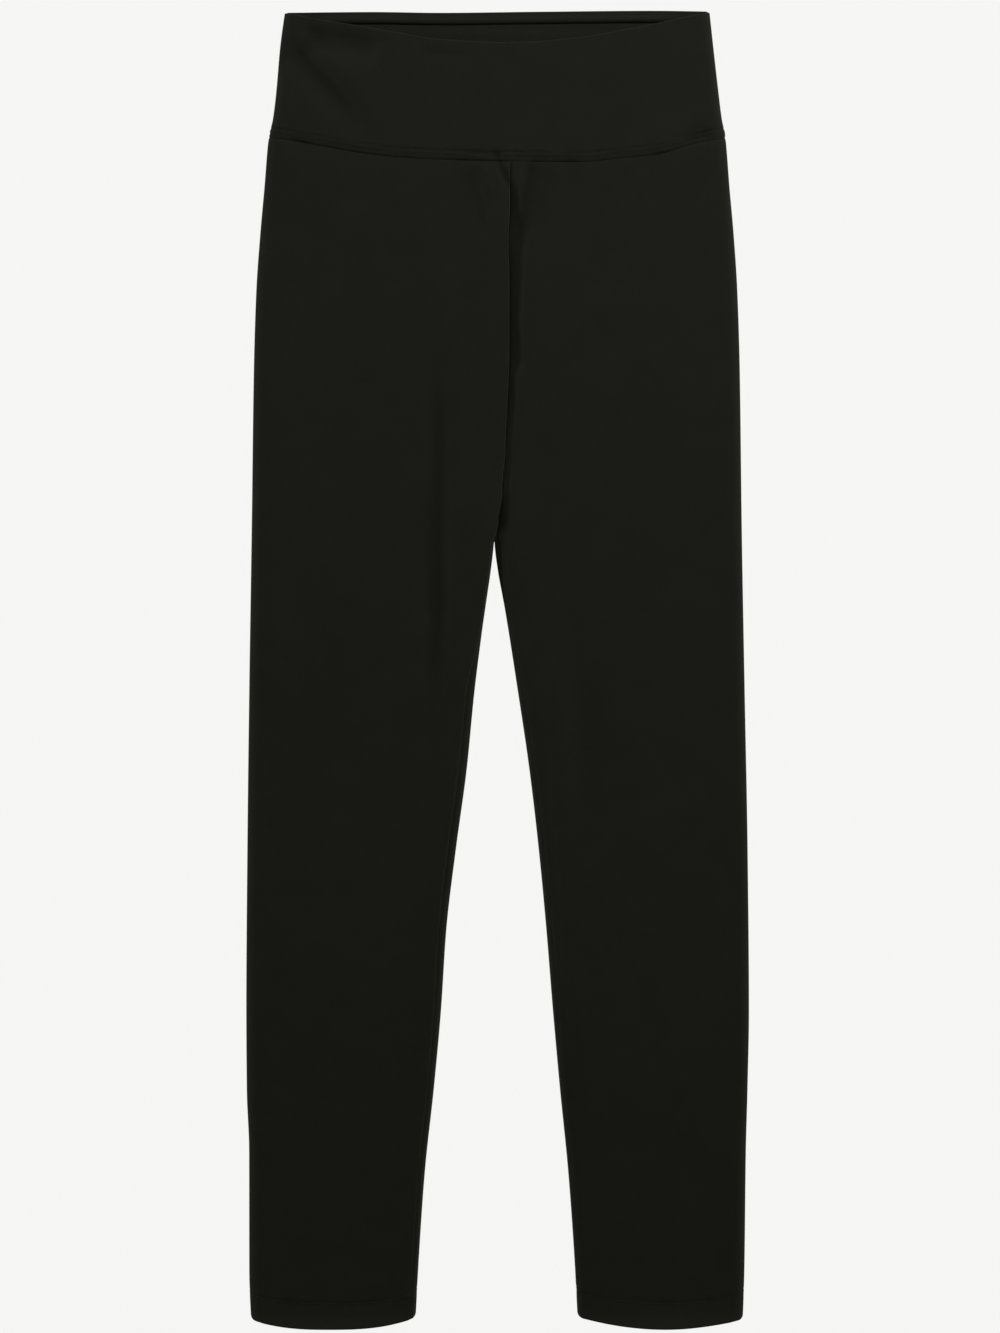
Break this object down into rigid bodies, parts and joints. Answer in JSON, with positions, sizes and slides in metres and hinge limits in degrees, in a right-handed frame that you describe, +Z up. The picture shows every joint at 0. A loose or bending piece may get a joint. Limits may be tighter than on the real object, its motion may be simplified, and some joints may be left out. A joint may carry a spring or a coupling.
{
  "type": "leggings",
  "caption": "Plain black full-length leggings laid flat, front up, with a deep doubled waistband and turned hems.",
  "frame": {"origin": "on the surface that the leggings lie on, under the middle of their bounding box", "axes": "+Z up out of the surface, +Y towards the waist, +X towards the wearer's left leg; the front of the garment faces up"},
  "size_m": [0.3704, 0.972, 0.0071],
  "materials": {
    "leg_jersey": "matt black cotton and elastane jersey with a faint nap",
    "band_jersey": "the same jersey, doubled",
    "facing_jersey": "the same jersey, its inside layer"
  },
  "bodies": {
    "root": {"leg_right": "leg_jersey", "leg_left": "leg_jersey", "waistband": "band_jersey", "waistband_facing": "facing_jersey"}
  },
  "joints": []
}
